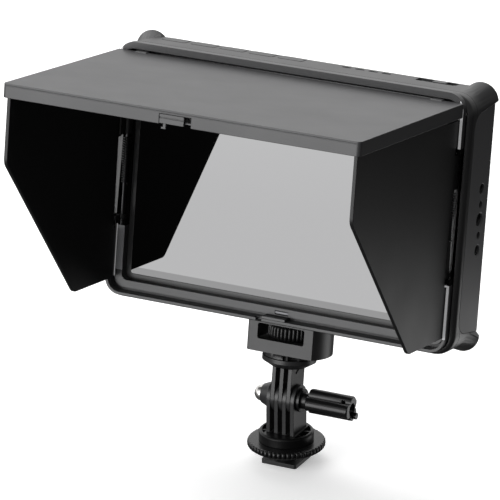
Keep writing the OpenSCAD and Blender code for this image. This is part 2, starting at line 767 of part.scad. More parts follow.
// Main circuit board with its larger parts, on the panel's back
module main_board() {
    side_inset = 13.85;
    foot_inset = 24.1;
    top_inset = 19.1;
    board_t = 1.4;
    post_r = 2;
    post_h = 2;
    post_inset = [6, 4];
    w = picture_w + 2 * panel_border - 2 * side_inset;
    h = picture_h + 2 * panel_border - foot_inset - top_inset;
    // Each row: x and z from the board's lower left corner, width, height and thickness of a part
    chips = [[34, 16, 16, 16, 1.6], [72, 22, 12, 12, 1.2], [98, 6, 10, 14, 2.4], [12, 34, 8, 20, 3]];
    color([0.1, 0.3, 0.18]) on_monitor()
        translate([-w / 2, panel_y + panel_t, picture_z0 - panel_border + foot_inset]) {
            translate([0, post_h, 0]) cube([w, board_t, h]);
            for (c = chips) translate([c[0], post_h + board_t - eps, c[1]]) cube([c[2], c[4], c[3]]);
            for (x = [post_inset[0], w - post_inset[0]], z = [post_inset[1], h - post_inset[1]])
                translate([x, 0, z]) rotate([-90, 0, 0]) cylinder(r = post_r, h = post_h + eps);
        }
}

// Switch board under the buttons
button_board_t = 1.2;
button_board_gap = 1.7;
module button_board() {
    z0 = cavity_z1 - button_flange - button_travel - button_board_gap - button_board_t;
    switch_h = button_board_gap - 0.2;
    switch_z = z0 + button_board_t - eps;
    color([0.1, 0.3, 0.18]) on_monitor() {
        translate([button_x(0) - 9, panel_y + panel_t + 0.4, z0])
            cube([4 * button_pitch + 18, cavity_y1 - panel_y - panel_t - 0.7, button_board_t]);
        for (i = [0 : 4]) translate([button_x(i) - 2, button_y - 2, switch_z]) cube([4, 4, switch_h]);
    }
}

// Right side plate with its threaded boss and five holes
hole_y = 23.2;
hole_z = mid_z + 0.8;
big_hole_depth = 7.5;
pin_r = 1.65;
small_thread_r = 2.5;
module side_plate_right() {
    x1 = body_w / 2;
    color([0.2, 0.2, 0.21]) on_monitor() difference() {
        union() {
            translate([x1, 0, 0]) side_outline(-side_t, seat_gap);
            translate([x1 - side_t - boss_l, boss_y0, boss_z0])
                cube([boss_l + 1, boss_y1 - boss_y0, boss_z1 - boss_z0]);
        }
        side_hole(0, stud_r, big_hole_depth, 0.6);
        for (s = [-1, 1]) {
            side_hole(s, pin_r, 4, 0.2);
            side_hole(2 * s, small_thread_r, 6, 0.3);
        }
    }
}

// One hole of the row in the right side plate, with its countersink
module side_hole(step, r, depth, sink) {
    translate([body_w / 2 - depth, hole_y, hole_z + step * hole_pitch]) rotate([0, 90, 0]) {
        cylinder(r = r, h = depth + 1);
        translate([0, 0, depth - sink]) cylinder(r1 = r, r2 = r + sink, h = sink);
        translate([0, 0, depth]) cylinder(r = r + sink, h = 1);
    }
}

// Sockets on the left: height above the plate's middle, width along z, depth along y, corner
sockets = [[34, 15, 5.6, 0.6], [14, 15, 5.6, 0.6], [-6, 9.4, 3.6, 1.6], [-22, 8, 8, 3.9], [-37, 6, 6, 2.9]];
socket_y = 21;
module socket_shape(p, gap) {
    w = p[1] + 2 * gap;
    d = p[2] + 2 * gap;
    translate([socket_y - d / 2, mid_z + p[0] - w / 2]) rounded_rect(d, w, p[3] + gap);
}

module socket_cuts(gap) {
    translate([-body_w / 2 - 2, 0, 0]) rotate([90, 0, 90])
        linear_extrude(8) for (p = sockets) socket_shape(p, gap);
}

// Left side plate with the openings of its sockets
module side_plate_left() {
    color([0.2, 0.2, 0.21]) on_monitor() difference() {
        translate([-body_w / 2, 0, 0]) side_outline(side_t, seat_gap);
        socket_cuts(seat_gap);
    }
}

// Picture, data, power and earphone sockets with their contacts
module side_sockets() {
    shell = 0.5;
    length = 9;
    x0 = -body_w / 2 + 0.3;
    color([0.6, 0.6, 0.62]) on_monitor() for (p = sockets) {
        translate([x0, 0, 0]) rotate([90, 0, 90]) difference() {
            linear_extrude(length) socket_shape(p, 0);
            translate([0, 0, -1]) linear_extrude(length - 1) socket_shape(
                [p[0], p[1] - 2 * shell, p[2] - 2 * shell, p[3] - shell], 0);
        }
        // Contact tongue, or the round pin of the power and earphone sockets
        if (p[1] > p[2] + 1) translate([x0 + 0.8, socket_y - 0.6, mid_z + p[0] - p[1] / 2 + 2])
            cube([length - 1, 1.2, p[1] - 4]);
        else translate([x0 + 1, socket_y, mid_z + p[0]]) rotate([0, 90, 0])
            cylinder(r = 1, h = length - 1.5);
    }
}

// Push button i with the flange that keeps it in the housing
module push_button(i) {
    z1 = body_z1 + button_proud;
    color([0.15, 0.15, 0.16]) on_monitor() {
        translate([button_x(i) - button_w / 2, button_y - button_d / 2, cavity_z1 - button_flange])
            linear_extrude(z1 - cavity_z1 + button_flange) rounded_rect(button_w, button_d, 1.2);
        translate([button_x(i) - button_w / 2 - 0.9, button_y - button_d / 2 - 0.8,
                cavity_z1 - button_flange - 0.05])
            cube([button_w + 1.8, button_d + 1.6, button_flange - 0.1]);
    }
}

// Sliding power switch
module power_switch() {
    knob_d = 4.6;
    lift = 0.12;
    color([0.15, 0.15, 0.16]) on_monitor() translate([power_rest_x, button_y, 0]) {
        translate([-power_knob_w / 2, -knob_d / 2, body_z1 - power_recess_t + lift])
            linear_extrude(power_recess_t + 0.1) rounded_rect(power_knob_w, knob_d, 1);
        translate([-power_stem_w / 2, -1.4, cavity_z1 - 0.8])
            cube([power_stem_w, 2.8, wall - power_recess_t + 1.2]);
        translate([-power_stem_w / 2 - 0.5, -2.6, cavity_z1 - 1.2])
            cube([power_stem_w + 1, 5.2, 1.2 - lift]);
    }
}

// Battery plate on the back, with side rails and the slots that its battery hooks into
plate_y = body_y1;
module battery_plate() {
    rail_w = 3;
    rail_t = 2;
    slot_l = 7;
    color([0.12, 0.12, 0.13]) on_monitor() translate([-plate_w / 2, plate_y, plate_z - plate_h / 2])
        difference() {
            union() {
                cube([plate_w, plate_t, plate_h]);
                for (x = [-rail_t, plate_w - rail_w]) translate([x, plate_t - 1.6, 0])
                    cube([rail_w + rail_t, 1.6, plate_h]);
            }
            // Two pairs of hook slots along the sides
            for (z = [14, 44], x = [5, plate_w - 8]) translate([x, plate_t - 3, z])
                cube([3, 4, slot_l]);
            // Seat of the contacts and pocket of the release button
            translate([plate_w / 2 - 8, plate_t - 3.4, plate_h - 18]) cube([16, 4, 14]);
            release_pocket(0);
        }
}

// Pocket of the release button, in the battery plate's own corner frame
release_z0 = 5;
release_w = 12;
release_h = 7;
release_travel = 3;
release_t = 3;
module release_pocket(gap) {
    translate([plate_w / 2 - release_w / 2 + gap, plate_t - release_t + gap, release_z0 + gap])
        cube([release_w - 2 * gap, release_t + 1, release_h + (gap > 0 ? 0 : release_travel) - 2 * gap]);
}

// Contact block of the battery plate with its three blades
module battery_contacts() {
    color([0.75, 0.6, 0.3]) on_monitor()
        translate([-8 + seat_gap, plate_y + plate_t - 3.4 + seat_gap, plate_z + plate_h / 2 - 18 + seat_gap]) {
            cube([16 - 2 * seat_gap, 1.8, 14 - 2 * seat_gap]);
            for (x = [2.4, 7, 11.8]) translate([x, 1.8 - eps, 1.5]) cube([1.4, 1.4, 10]);
        }
}

// Sliding button that lets the battery go
module battery_release() {
    grip_pitch = 1.8;
    grip_w = 0.6;
    proud = 0.9;
    color([0.2, 0.2, 0.21]) on_monitor()
        translate([-plate_w / 2, plate_y, plate_z - plate_h / 2]) difference() {
            intersection() {
                release_pocket(run_gap);
                cube([plate_w, plate_t + proud, plate_h]);
            }
            for (i = [0 : 2]) translate([0, plate_t + proud / 2, release_z0 + 1.6 + i * grip_pitch])
                cube([plate_w, proud, grip_w]);
        }
}

// Hood frame: lip, channel and ridge round the opening, with the hinge bays
module hood_frame() {
    core_top = nest_top;
    color([0.12, 0.12, 0.13]) on_monitor() difference() {
        union() {
            wall_plate(frame_w, 0, frame_h, frame_r, 0, flange_d);
            wall_plate(frame_w, 0, core_top, frame_r, flange_d - 1, frame_d);
        }
        // Opening to the screen
        wall_plate(frame_w - 2 * ridge_in, ridge_in, open_z1, 3, -1, frame_d + 1);
        // Step down from the lip to the ridge front
        wall_plate(frame_w - 2 * lip_t, lip_t, inner_top, frame_r - lip_t, -1, ridge_y);
        // Channel between the lip and the ridge
        difference() {
            wall_plate(frame_w - 2 * lip_t, lip_t, inner_top, frame_r - lip_t, ridge_y - 1, channel_y);
            wall_plate(frame_w - 2 * ridge_out, ridge_out, inner_top - channel_w, frame_r - ridge_out,
                ridge_y - 2, channel_y + 1);
        }
        // Bays for the flap hinges, cut through the lip and the ridge
        for (s = [-1, 1]) translate([s * (frame_w / 2 - ridge_in / 2 + 0.5) - ridge_in / 2 - 1.5, -1, bay_z0])
            cube([ridge_in + 3, left_axis_y + knuckle_r + 0.3 + 1, bay_z1 - bay_z0]);
        // Sockets of the hinge rods
        for (s = [-1, 1]) translate([s * hinge_x, axis_of(s), bay_z0 - rod_seat])
            cylinder(r = rod_r + seat_gap, h = bay_z1 - bay_z0 + 2 * rod_seat);
        // The left rod lies in grooves of the ridge that are open in front
        translate([-hinge_x - rod_r - seat_gap, ridge_y - 1, bay_z0 - rod_seat])
            cube([2 * (rod_r + seat_gap), left_axis_y - ridge_y + 1, bay_z1 - bay_z0 + 2 * rod_seat]);
        // Notch that takes the latch hook, with its undercut to the left behind the lip
        translate([catch_notch_x, -1, -1]) cube([catch_notch_w, 4.2, 1 + ridge_out]);
        translate([catch_notch_x - catch_undercut, 1, lip_t / 2])
            cube([catch_notch_w, 2.2, ridge_out - lip_t / 2]);
        // Slot for the catch bar in the ridge
        translate([catch_x - catch_w / 2, ridge_y - 1, ridge_out + 0.6]) cube([catch_w, 2.4, 1.8]);
    }
    color([0.12, 0.12, 0.13]) on_monitor() {
        lid_lugs();
        rod_posts();
        // Bridge over the channel, from the lip to the channel's floor
        translate([catch_notch_x + catch_notch_w, catch_bridge_y, lip_t - 0.4])
            cube([catch_bridge_w, channel_y + 0.2 - catch_bridge_y, ridge_out - lip_t + 0.1]);
    }
}

// Posts at both ends of the right hinge bay that hold its rod in front of the ridge
module rod_posts() {
    side_w = rod_r + 0.9;
    for (z = [bay_z0 - rod_seat - 0.8, bay_z1]) difference() {
        translate([hinge_x - side_w, right_axis_y - side_w, z])
            cube([2 * side_w, ridge_y + 0.6 - right_axis_y + side_w, rod_seat + 0.8]);
        translate([hinge_x, right_axis_y, bay_z0 - rod_seat])
            cylinder(r = rod_r + seat_gap, h = bay_z1 - bay_z0 + 2 * rod_seat);
    }
}

// Depth of the hinge axis on side s: the right flap folds over the left one
function axis_of(s) = s < 0 ? left_axis_y : right_axis_y;
rod_seat = 2.5;
catch_x = 3.05;
catch_w = 6.9;

// Lugs of the frame beside the lid's ears, bored for the lid pins
module lid_lugs() {
    for (s = [-1, 1], side = [-1, 1])
        translate([s * lid_ear_x + side * (lid_ear_w / 2 + lug_gap + lug_w / 2) - lug_w / 2, 0, 0])
            difference() {
                union() {
                    translate([0, lid_axis_y, lid_axis_z]) rotate([0, 90, 0])
                        cylinder(r = lid_ear_r, h = lug_w);
                    translate([0, lid_axis_y - lug_front, lid_axis_z])
                        cube([lug_w, lug_front + lid_ear_r, lug_z1 - lid_axis_z]);
                    translate([0, lid_axis_y - lug_front, lug_z1 - 1.6])
                        cube([lug_w, ridge_y + 1 - lid_axis_y + lug_front, 1.6]);
                }
                translate([-1, lid_axis_y, lid_axis_z]) rotate([0, 90, 0])
                    cylinder(r = lid_pin_r + seat_gap, h = lug_w + 2);
            }
}
lug_z1 = lid_z0 - 0.4;
lug_front = 1.2;

// Small bright bar of the catch, in the slot of the ridge
module catch_spring_bar() {
    color([0.7, 0.7, 0.72]) on_monitor()
        translate([catch_x - catch_w / 2 + seat_gap, ridge_y + 0.3, ridge_out + 1])
            cube([catch_w - 2 * seat_gap, 1, 1]);
}

// Pins of the lid hinge, held by the lugs
module lid_pins() {
    l = lid_ear_w + 2 * (lug_w + lug_gap);
    color([0.7, 0.7, 0.72]) on_monitor() for (s = [-1, 1])
        translate([s * lid_ear_x - l / 2, lid_axis_y, lid_axis_z]) rotate([0, 90, 0])
            cylinder(r = lid_pin_r, h = l);
}

// Lid plate with its rims, ears and latch notch
module hood_lid() {
    w = frame_w;
    notch_x0 = latch_x - latch_w / 2;
    groove_t = 0.3;
    groove_z = 1.3;
    color([0.35, 0.35, 0.36]) on_monitor() difference() {
        union() {
            translate([0, 0, rim_z0]) linear_extrude(rim_h) difference() {
                lid_outline(w, lid_r, 0);
                lid_outline(w, lid_r, rim_t);
            }
            translate([0, 0, lid_z0]) linear_extrude(lid_t) lid_outline(w, lid_r, 0);
            for (s = [-1, 1]) translate([s * lid_ear_x - lid_ear_w / 2, 0, 0]) {
                translate([0, lid_axis_y, lid_axis_z]) rotate([0, 90, 0])
                    cylinder(r = lid_ear_r, h = lid_ear_w);
                translate([0, lid_axis_y - lid_ear_r, lid_axis_z])
                    cube([lid_ear_w, 2 * lid_ear_r, lid_z1 + 0.5 - lid_axis_z]);
                // Stop that meets the frame's ridge when the lid is fully up
                translate([0, lid_axis_y, lid_axis_z])
                    cube([lid_ear_w, ridge_y - 0.1 - lid_axis_y, 4]);
            }
        }
        for (s = [-1, 1]) translate([s * lid_ear_x - lid_ear_w, lid_axis_y, lid_axis_z])
            rotate([0, 90, 0]) cylinder(r = lid_pin_r + run_gap, h = 2 * lid_ear_w);
        // Fine groove along the front rim
        translate([lid_r - w / 2, -lid_reach - 1, lid_z1 - groove_z])
            cube([w - 2 * lid_r, 1 + groove_t, groove_t]);
        // Notch and inner pocket of the latch
        translate([notch_x0, -lid_reach - 1, rim_z0 - 1]) cube([latch_w, rim_t + 2, rim_h - lid_t + 0.6]);
    }
    // Guides behind the rim, which carry the latch
    color([0.35, 0.35, 0.36]) on_monitor() for (x = [notch_x0 - 4.5, notch_x0 + latch_w + 1.5])
        translate([x, -lid_reach + rim_t + latch_t + 2 * run_gap, rim_z0 + 0.6])
            cube([3, 1.2, rim_h - lid_t - 0.6 + eps]);
    // Feet under the latch's rail, between the rim and each guide
    color([0.35, 0.35, 0.36]) on_monitor() for (x = [notch_x0 - 4.5, notch_x0 + latch_w + 1.5])
        translate([x, -lid_reach + rim_t - eps, rim_z0 + 0.2]) cube([3, latch_t + 1.4, 0.8]);
}

// The lid's outline seen from above, drawn in by inset on the front and the sides
module lid_outline(w, r, inset) {
    x = w / 2 - inset;
    rr = max(r - inset, 0.6);
    y0 = -lid_reach + inset;
    y1 = inset > 0 ? lid_rear + 1 : lid_rear;
    translate([-x + rr, y0]) square([2 * (x - rr), y1 - y0]);
    translate([-x, y0 + rr]) square([2 * x, y1 - y0 - rr]);
    for (s = [-1, 1]) translate([s * (x - rr), y0 + rr]) circle(rr);
}

// Sliding latch in the lid's front rim
latch_t = 1.2;
module lid_latch() {
    face_w = latch_w - latch_travel - 2 * run_gap;
    x0 = latch_x - latch_w / 2 + run_gap;
    y0 = -lid_reach;
    z0 = rim_z0 + 0.4;
    z1 = lid_z0 - run_gap;
    rail = 5.5;
    hook_x = catch_notch_x + 0.6;
    hook_z = rim_z0 - hook_drop;
    color([0.33, 0.33, 0.34]) on_monitor() difference() {
        union() {
            translate([x0, y0 + 0.1, z0]) cube([face_w, rim_t + 0.3, z1 - z0 - 0.4]);
            // Rail behind the rim, held by the lid's guides
            translate([x0 - rail, y0 + rim_t + run_gap, z0 + 0.8])
                cube([latch_w + 2 * rail - latch_travel, latch_t, z1 - z0 - 0.8]);
            // Hook that enters the notch of the frame when the lid is shut, with its barb to the left
            translate([hook_x, y0 + 0.6, hook_z]) cube([hook_w, hook_t, z0 + 1 - hook_z]);
            translate([hook_x - hook_barb, y0 + 0.6, hook_z])
                cube([hook_barb + hook_w, hook_t, hook_barb]);
        }
        translate([x0 - 1, y0 - 1, (z0 + z1) / 2]) cube([face_w + 2, 1.5, 0.5]);
    }
}

// Outline of a flap in the y-z plane
module flap_outline() {
    r1 = flap_bend_r;
    r2 = flap_tip_r;
    difference() {
        hull() {
            translate([flap_front, flap_top - 1]) square([1, 1]);
            translate([flap_front + r1, flap_bend_z + r1]) circle(r1, $fn = hull_fn);
            translate([-flap_foot - r2, flap_z0 + r2]) circle(r2, $fn = hull_fn);
            translate([flap_rear - 1, flap_z0]) square([1, flap_top - flap_z0]);
        }
        // Notch that clears the lid's ears when the flap is folded
        translate([ear_notch_y, ear_notch_z]) square([30, 30]);
        // Notches that clear the posts of the hinge rod
        for (z = [bay_z0 - rod_seat - 1.3, bay_z1 - flap_gap])
            translate([-1.2, z]) square([10, rod_seat + 1.3 + flap_gap]);
    }
}
flap_rear = 1.4;

// A side flap: s is its side
module flap(s) {
    ay = axis_of(s);
    low_z = bay_z0 + flap_gap;
    top_z = bay_z1 - flap_gap - knuckle_top_l;
    mid0 = low_z + knuckle_low_l;
    color([0.08, 0.08, 0.085]) on_monitor() difference() {
        union() {
            difference() {
                translate([s > 0 ? flap_in_x : -flap_out_x, 0, 0]) rotate([90, 0, 90])
                    linear_extrude(flap_t) flap_outline();
                // Bay that shows the spring
                translate([s * flap_in_x - 5, -1.5, mid0 + 1]) cube([10, 10, top_z - mid0 - 2]);
            }
            flap_knuckle(s, ay, low_z, knuckle_low_l);
            flap_knuckle(s, ay, top_z, knuckle_top_l);
        }
        translate([s * hinge_x, ay, bay_z0 - 1]) cylinder(r = rod_r + run_gap, h = bay_z1 - bay_z0 + 2);
    }
}

// One knuckle with its web to the flap plate
module flap_knuckle(s, ay, z, l) {
    web_x = s > 0 ? hinge_x : -flap_out_x;
    translate([s * hinge_x, ay, z]) cylinder(r = knuckle_r, h = l);
    translate([web_x, flap_rear - 3, z]) cube([flap_out_x - hinge_x, ay - flap_rear + 3, l]);
}

// Hinge rod of side s, seated in the frame at both ends
module rod(s) {
    color([0.55, 0.55, 0.57]) on_monitor() translate([s * hinge_x, axis_of(s), bay_z0 - rod_seat + 0.1])
        cylinder(r = rod_r, h = bay_z1 - bay_z0 + 2 * rod_seat - 0.2);
}

// Mean radius of the spring at turn t: wide above, slim below, with a soft change between
function spring_radius(t) = let (u = (t / spring_turns - 0.4) / 0.1)
    spring_slim_r + (spring_wide_r - spring_slim_r) * min(1, max(0, u));

// Point on the middle line of a flap spring at turn t
function spring_point(t) = [
    spring_radius(t) * cos(360 * t),
    spring_radius(t) * sin(360 * t),
    spring_pitch * t
];
spring_steps = 8;
spring_sides = 6;
spring_coil = [for (i = [0 : spring_turns * spring_steps]) spring_point(i / spring_steps)];
// Both ends run straight for one wire thickness
spring_last = len(spring_coil) - 1;
spring_path = concat(
    [spring_coil[0] - spring_wire * unit(spring_coil[1] - spring_coil[0])],
    spring_coil,
    [spring_coil[spring_last] + spring_wire * unit(spring_coil[spring_last] - spring_coil[spring_last - 1])]
);

function unit(v) = v / norm(v);

// Ring of points round the middle line at step i
function spring_ring(path, i) =
    let (
        n = len(path) - 1,
        d = path[min(i + 1, n)] - path[max(i - 1, 0)],
        f = d / norm(d),
        out = [path[i][0], path[i][1], 0],
        u = out / norm(out),
        v = cross(f, u)
    )
    [for (k = [0 : spring_sides - 1]) let (a = 360 * k / spring_sides)
        path[i] + spring_wire / 2 * (u * cos(a) + v / norm(v) * sin(a))];

// Coil spring round the hinge rod of side s
module flap_spring(s) {
    n = len(spring_path);
    m = spring_sides;
    points = [for (i = [0 : n - 1]) each spring_ring(spring_path, i)];
    sides = [for (i = [0 : n - 2], k = [0 : m - 1], t = [0, 1])
        let (a = i * m + k, b = i * m + (k + 1) % m)
        t == 0 ? [a, b, b + m] : [a, b + m, a + m]];
    cap0 = [for (k = [1 : m - 2]) [0, k + 1, k]];
    cap1 = [for (k = [1 : m - 2]) [(n - 1) * m, (n - 1) * m + k, (n - 1) * m + k + 1]];
    color([0.6, 0.6, 0.62]) on_monitor() translate([s * hinge_x, axis_of(s), spring_z0])
        polyhedron(points, concat(sides, cap0, cap1));
}

// Least gap of a spring to itself, measured between points a whole turn and more apart
spring_gap = min([for (i = [0 : len(spring_path) - 1], j = [i + 5 : len(spring_path) - 1])
    norm(spring_path[j] - spring_path[i])]) - spring_wire;
echo(str("Least gap of a flap spring to itself: ", spring_gap, " mm"));

shoe_foot();
lock_ring();
lower_fingers();
clamp_nut();
clamp_screw();
clamp_handle();
upper_fingers();
swivel_screw();
mount_block();
block_wheel();
bottom_insert();
rear_housing();
front_bezel();
screen_glass();
lcd_panel();
main_board();
button_board();
side_plate_right();
side_plate_left();
side_sockets();
push_button(0);  // button_1
push_button(1);  // button_2
push_button(2);  // button_3
push_button(3);  // button_4
push_button(4);  // button_5
power_switch();
battery_plate();
battery_contacts();
battery_release();
housing_screws();
hood_frame();
catch_spring_bar();
lid_pins();
hood_lid();
lid_latch();
flap(-1);  // flap_left
flap(1);  // flap_right
rod(-1);  // rod_left
rod(1);  // rod_right
flap_spring(-1);  // spring_left
flap_spring(1);  // spring_right
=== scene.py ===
# %% [markdown]
# # Camera field monitor with a folding sun hood
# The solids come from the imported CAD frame, so nothing has to be measured again here.
# This script gives them their looks: rounded edges, finishes, light and the camera.
# Every length below is in metres unless its name ends in _mm.

# %% Load the frame
import json
import math

import bmesh
import bpy
import numpy as np
from mathutils import Matrix, Vector

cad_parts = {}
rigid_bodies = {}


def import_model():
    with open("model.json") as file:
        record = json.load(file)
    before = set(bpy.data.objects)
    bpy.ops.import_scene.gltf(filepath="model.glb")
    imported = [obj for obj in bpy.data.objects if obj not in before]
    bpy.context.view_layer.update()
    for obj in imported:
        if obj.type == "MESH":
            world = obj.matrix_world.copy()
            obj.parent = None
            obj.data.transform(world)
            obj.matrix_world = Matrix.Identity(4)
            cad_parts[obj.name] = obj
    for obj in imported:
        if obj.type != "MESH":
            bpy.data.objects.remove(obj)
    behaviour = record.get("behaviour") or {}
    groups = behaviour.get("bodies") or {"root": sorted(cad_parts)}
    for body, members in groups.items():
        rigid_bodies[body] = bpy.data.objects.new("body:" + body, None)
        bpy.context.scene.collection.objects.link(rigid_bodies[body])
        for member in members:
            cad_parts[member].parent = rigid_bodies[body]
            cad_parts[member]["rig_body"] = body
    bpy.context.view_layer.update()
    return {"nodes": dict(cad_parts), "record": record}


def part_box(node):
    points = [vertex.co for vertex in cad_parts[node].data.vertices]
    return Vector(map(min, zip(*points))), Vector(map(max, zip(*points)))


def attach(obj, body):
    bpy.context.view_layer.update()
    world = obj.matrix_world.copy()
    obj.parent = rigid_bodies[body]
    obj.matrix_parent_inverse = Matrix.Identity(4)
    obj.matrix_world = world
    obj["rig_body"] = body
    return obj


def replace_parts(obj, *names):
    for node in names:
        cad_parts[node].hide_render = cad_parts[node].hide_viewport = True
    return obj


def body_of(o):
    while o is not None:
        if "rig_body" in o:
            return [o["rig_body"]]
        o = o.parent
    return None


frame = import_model()

# %% [markdown]
# ## Camera
# The photograph was taken from a little to the right and above, with a long lens.
# The camera is set by the point it looks at, two angles and a distance, because those
# are the numbers that a photographer could read off the set.

# %% Place the camera
look_at = Vector((-0.019655, 0.0, 0.105842))
turn, rise, distance = math.radians(26.27), math.radians(21.33), 2.1605
away = Vector((math.sin(turn) * math.cos(rise), -math.cos(turn) * math.cos(rise), math.sin(rise)))
camera_data = bpy.data.cameras.new("product_camera")
camera_data.sensor_width = 36.0
camera_data.lens = 4508.3 / 500 * 36.0
camera = bpy.data.objects.new("product_camera", camera_data)
camera.location = look_at + away * distance
camera.rotation_euler = (-away).to_track_quat("-Z", "Y").to_euler()
bpy.context.scene.collection.objects.link(camera)
bpy.context.scene.camera = camera
print("lens in mm:", round(camera_data.lens, 1))

# %% [markdown]
# ## Shader sums
# A finish is easier to read as a sum than as a web of nodes. The small class below wraps
# one socket, so that 1 - mask or 0.2 * noise adds the Math nodes by itself.

# %% A socket that can be used in sums
def put(tree, socket, term):
    """Links a Value to a socket, or sets the socket to a plain number or colour."""
    if isinstance(term, Value):
        tree.links.new(term.socket, socket)
    else:
        socket.default_value = term


class Value:
    def __init__(self, tree, socket):
        self.tree, self.socket = tree, socket

    def math(self, operation, *terms):
        node = self.tree.nodes.new("ShaderNodeMath")
        node.operation = operation
        for socket, term in zip(node.inputs, terms):
            put(self.tree, socket, term)
        return Value(self.tree, node.outputs[0])

    def __add__(self, other):
        return self.math("ADD", self, other)

    def __radd__(self, other):
        return self.math("ADD", other, self)

    def __sub__(self, other):
        return self.math("SUBTRACT", self, other)

    def __rsub__(self, other):
        return self.math("SUBTRACT", other, self)

    def __mul__(self, other):
        return self.math("MULTIPLY", self, other)

    def __rmul__(self, other):
        return self.math("MULTIPLY", other, self)

    def __gt__(self, other):
        return self.math("GREATER_THAN", self, other)

    def __lt__(self, other):
        return self.math("LESS_THAN", self, other)


# %% [markdown]
# A finish is one material with one Principled shader. Its `node` method adds any other
# node: the settings go in first, because some of them change which sockets there are.

# %% A finish and its nodes
class Finish:
    def __init__(self, name):
        self.material = bpy.data.materials.new(name)
        self.material.use_nodes = True
        self.tree = self.material.node_tree
        self.shader = self.tree.nodes["Principled BSDF"]

    def node(self, kind, settings=None, sockets=None, out=0):
        node = self.tree.nodes.new(kind)
        for key, value in (settings or {}).items():
            if key == "stops":
                for stop, (place, shade) in zip(node.color_ramp.elements, value):
                    stop.position, stop.color = place, (*shade, 1)
            else:
                setattr(node, key, value)
        for key, term in (sockets or {}).items():
            put(self.tree, node.inputs[key], term)
        return Value(self.tree, node.outputs[out])

    def place(self):
        """The point on the surface, in metres."""
        return self.node("ShaderNodeTexCoord", out=3)

    def noise(self, size_mm, detail=2.0, rough=0.5):
        """Soft noise from 0 to 1 whose spots are about size_mm wide."""
        return self.node("ShaderNodeTexNoise", {"noise_dimensions": "3D"},
                         {"Vector": self.place(), "Scale": 1000 / size_mm, "Detail": detail,
                          "Roughness": rough})

    def mix(self, amount, first, second):
        """The colour between first and second."""
        node = self.tree.nodes.new("ShaderNodeMix")
        node.data_type = "RGBA"
        put(self.tree, node.inputs[0], amount)
        put(self.tree, node.inputs[6], first)
        put(self.tree, node.inputs[7], second)
        return Value(self.tree, node.outputs[2])

    def soft_edges(self, radius_mm):
        """A normal that turns smoothly over sharp edges, as on a moulded or brushed edge."""
        return self.node("ShaderNodeBevel", {"samples": 4}, {"Radius": radius_mm / 1000})

    def bump(self, height, depth_mm, edge_mm):
        return self.node("ShaderNodeBump", {}, {"Height": height, "Distance": depth_mm / 1000,
                                                "Normal": self.soft_edges(edge_mm)})

    def surface(self, **sockets):
        for key, term in sockets.items():
            put(self.tree, self.shader.inputs[key.replace("_", " ")], term)
        return self.material


def grey(level, tint=0.0):
    """A grey with a little blue in it, as an RGBA tuple of linear values."""
    return (level, level, level * (1 + tint), 1)


# %% [markdown]
# ## Moulded black plastic
# The housing, the frame and the hood are moulded in black plastic. The mould is spark
# eroded, which leaves a fine matt grain. The grain is a small noise in the bump, and a
# wider noise makes the gloss a little uneven, as it is where hands have touched it.
# Sharp CAD edges catch no light, so the Bevel node rounds the normal over each edge.

# %% Black plastic finishes
def moulded(name, level, gloss, grain_mm, depth_mm, shine=0.5, edge_mm=0.3):
    finish = Finish(name)
    grain = finish.noise(grain_mm, detail=3.0)
    patches = finish.noise(22, detail=2.0)
    colour = finish.mix(grain, grey(level * 0.8, 0.04), grey(level * 1.25, 0.04))
    return finish.surface(Base_Color=colour, Roughness=gloss + 0.10 * grain + 0.08 * (patches - 0.5),
                          Specular_IOR_Level=shine,
                          Normal=finish.bump(grain, depth_mm, edge_mm))


housing_black = moulded("housing_black", 0.016, 0.34, 0.35, 0.010)
hood_black = moulded("hood_black", 0.045, 0.38, 0.28, 0.008)
frame_black = moulded("frame_black", 0.040, 0.34, 0.30, 0.008)
flap_black = moulded("flap_black", 0.006, 0.42, 0.28, 0.010, shine=0.4)
plate_black = moulded("plate_black", 0.065, 0.44, 0.25, 0.008)
key_black = moulded("key_black", 0.022, 0.36, 0.25, 0.006)

# %% [markdown]
# ## Metals
# The mount is anodised aluminium, which is satin with a very fine grain. The nut, screw
# heads, rods and springs are bright steel with short polishing scratches.

# %% Metal finishes
def anodised(name, level, gloss, shine=0.5, edge_mm=0.25):
    finish = Finish(name)
    grain = finish.noise(0.18, detail=2.0)
    patches = finish.noise(9, detail=2.0)
    colour = finish.mix(grain, grey(level * 0.85, 0.03), grey(level * 1.2, 0.03))
    return finish.surface(Base_Color=colour, Metallic=0.2, Specular_IOR_Level=shine,
                          Roughness=gloss + 0.08 * grain + 0.06 * (patches - 0.5),
                          Normal=finish.bump(grain, 0.004, edge_mm))


def bright(name, colour, gloss):
    finish = Finish(name)
    scratches = finish.noise(0.5, detail=4.0, rough=0.7)
    tone = finish.mix(scratches, tuple(v * 0.85 for v in colour) + (1,), colour + (1,))
    return finish.surface(Base_Color=tone, Metallic=1.0, Roughness=gloss + 0.12 * scratches,
                          Normal=finish.bump(scratches, 0.002, 0.15))


mount_black = anodised("mount_black", 0.022, 0.32)
ring_black = anodised("ring_black", 0.008, 0.22, shine=0.4, edge_mm=0.12)
bright_steel = bright("bright_steel", (0.70, 0.69, 0.67), 0.24)
dark_steel = bright("dark_steel", (0.10, 0.10, 0.105), 0.30)
spring_steel = bright("spring_steel", (0.07, 0.07, 0.072), 0.28)
contact_brass = bright("contact_brass", (0.78, 0.60, 0.30), 0.22)

# %% [markdown]
# ## Screen
# A switched-off display under coated glass is a dark mirror: it shows the lamp in front
# and, on the left, the black flap. A real mirror keeps its tone at every angle, so the
# glass is a metal with a low tone. Below the picture the glass is printed darker.

